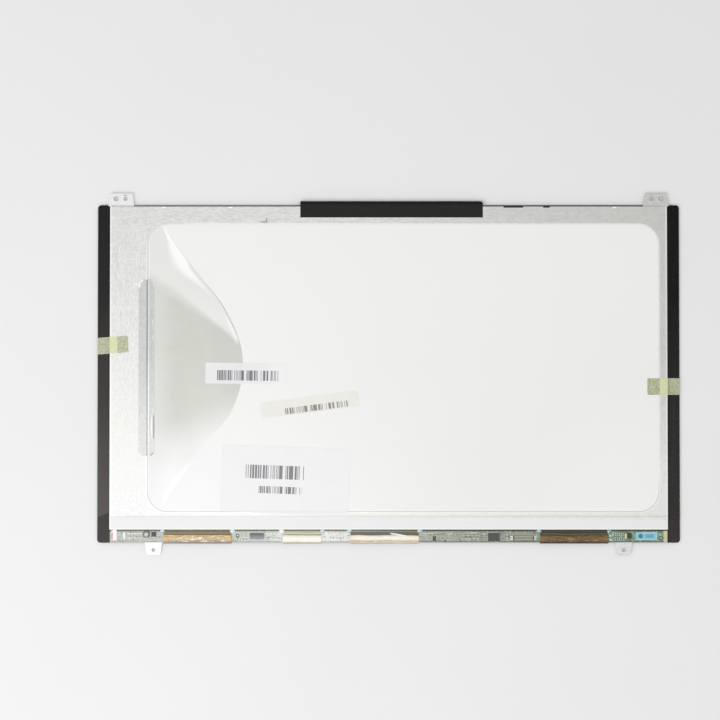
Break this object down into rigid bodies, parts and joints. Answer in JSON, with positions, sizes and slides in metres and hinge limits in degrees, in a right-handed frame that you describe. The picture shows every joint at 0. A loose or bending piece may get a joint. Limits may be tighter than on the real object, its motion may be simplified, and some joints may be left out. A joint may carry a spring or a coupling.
{
  "type": "laptop screen panel",
  "caption": "Flat laptop screen panel lying face down: glass cell, thin edge-lit backlight in a folded steel cover with fixing ears, and a driver board along its lower edge.",
  "frame": {"origin": "centre of the display face, on the surface that the panel lies on", "axes": "+X along the long side, to the right as seen from the back; +Y towards the screen's top edge; +Z from the display face to the back"},
  "size_m": [0.362, 0.225, 0.0038],
  "materials": {
    "front_film": "anti-glare",
    "panel_glass": "polished, black border printed inside",
    "rear_film": "smooth",
    "black_tape": "satin",
    "frame_plastic": "moulded",
    "optical_film": "smooth",
    "light_guide": "polished",
    "reflector_film": "glossy white",
    "light_flex": "smooth",
    "lamp": "smooth",
    "galvanised_steel": "spangled, satin",
    "pale_tape": "smooth",
    "bond_tape": "plain",
    "board": "solder mask",
    "amber_film": "smooth",
    "bare_chip": "polished",
    "resin": "glossy",
    "chip_package": "moulded",
    "ferrite": "moulded",
    "tantalum_case": "moulded",
    "fuse_body": "moulded",
    "capacitor_body": "fired",
    "resistor_body": "printed",
    "connector_plastic": "moulded",
    "contact_metal": "plated",
    "connector_steel": "pressed",
    "yellow_tape": "smooth",
    "clear_tape": "smooth",
    "white_paper": "coated",
    "cream_paper": "coated",
    "pale_paper": "coated",
    "blue_paper": "coated",
    "gold_tape": "smooth"
  },
  "bodies": {
    "root": {"front_polarizer": "front_film", "colour_filter_glass": "panel_glass", "array_glass": "panel_glass", "rear_polarizer": "rear_film", "left_border_tape": "black_tape", "right_border_tape": "black_tape", "top_edge_tape": "black_tape", "cell_bonding_tape": "black_tape", "mould_frame": "frame_plastic", "upper_prism_sheet": "optical_film", "lower_prism_sheet": "optical_film", "diffuser_sheet": "optical_film", "light_guide_plate": "light_guide", "reflector_sheet": "reflector_film", "light_bar_flex": "light_flex", "light_bar_leds": "lamp", "back_cover": "galvanised_steel", "lower_cover_tape": "pale_tape", "board_bond_tape": "bond_tape", "driver_board": "board", "driver_film_1": "amber_film", "driver_film_2": "amber_film", "driver_film_3": "amber_film", "driver_film_4": "amber_film", "driver_chip_1": "bare_chip", "driver_chip_2": "bare_chip", "driver_chip_3": "bare_chip", "driver_chip_4": "bare_chip", "film_corner_resin": "resin", "timing_controller": "chip_package", "power_chip": "chip_package", "backlight_driver_chip": "chip_package", "memory_chip": "chip_package", "backlight_inductor": "ferrite", "tantalum_capacitor": "tantalum_case", "board_fuse": "fuse_body", "chip_capacitors": "capacitor_body", "chip_resistors": "resistor_body", "connector_housing": "connector_plastic", "connector_contacts": "contact_metal", "connector_shell": "connector_steel", "left_hold_tape": "yellow_tape", "right_hold_tape": "yellow_tape", "reflector_tape": "clear_tape", "white_label": "white_paper", "cream_label": "cream_paper", "large_label": "pale_paper", "board_sticker": "blue_paper", "board_end_tape": "gold_tape"}
  },
  "joints": []
}
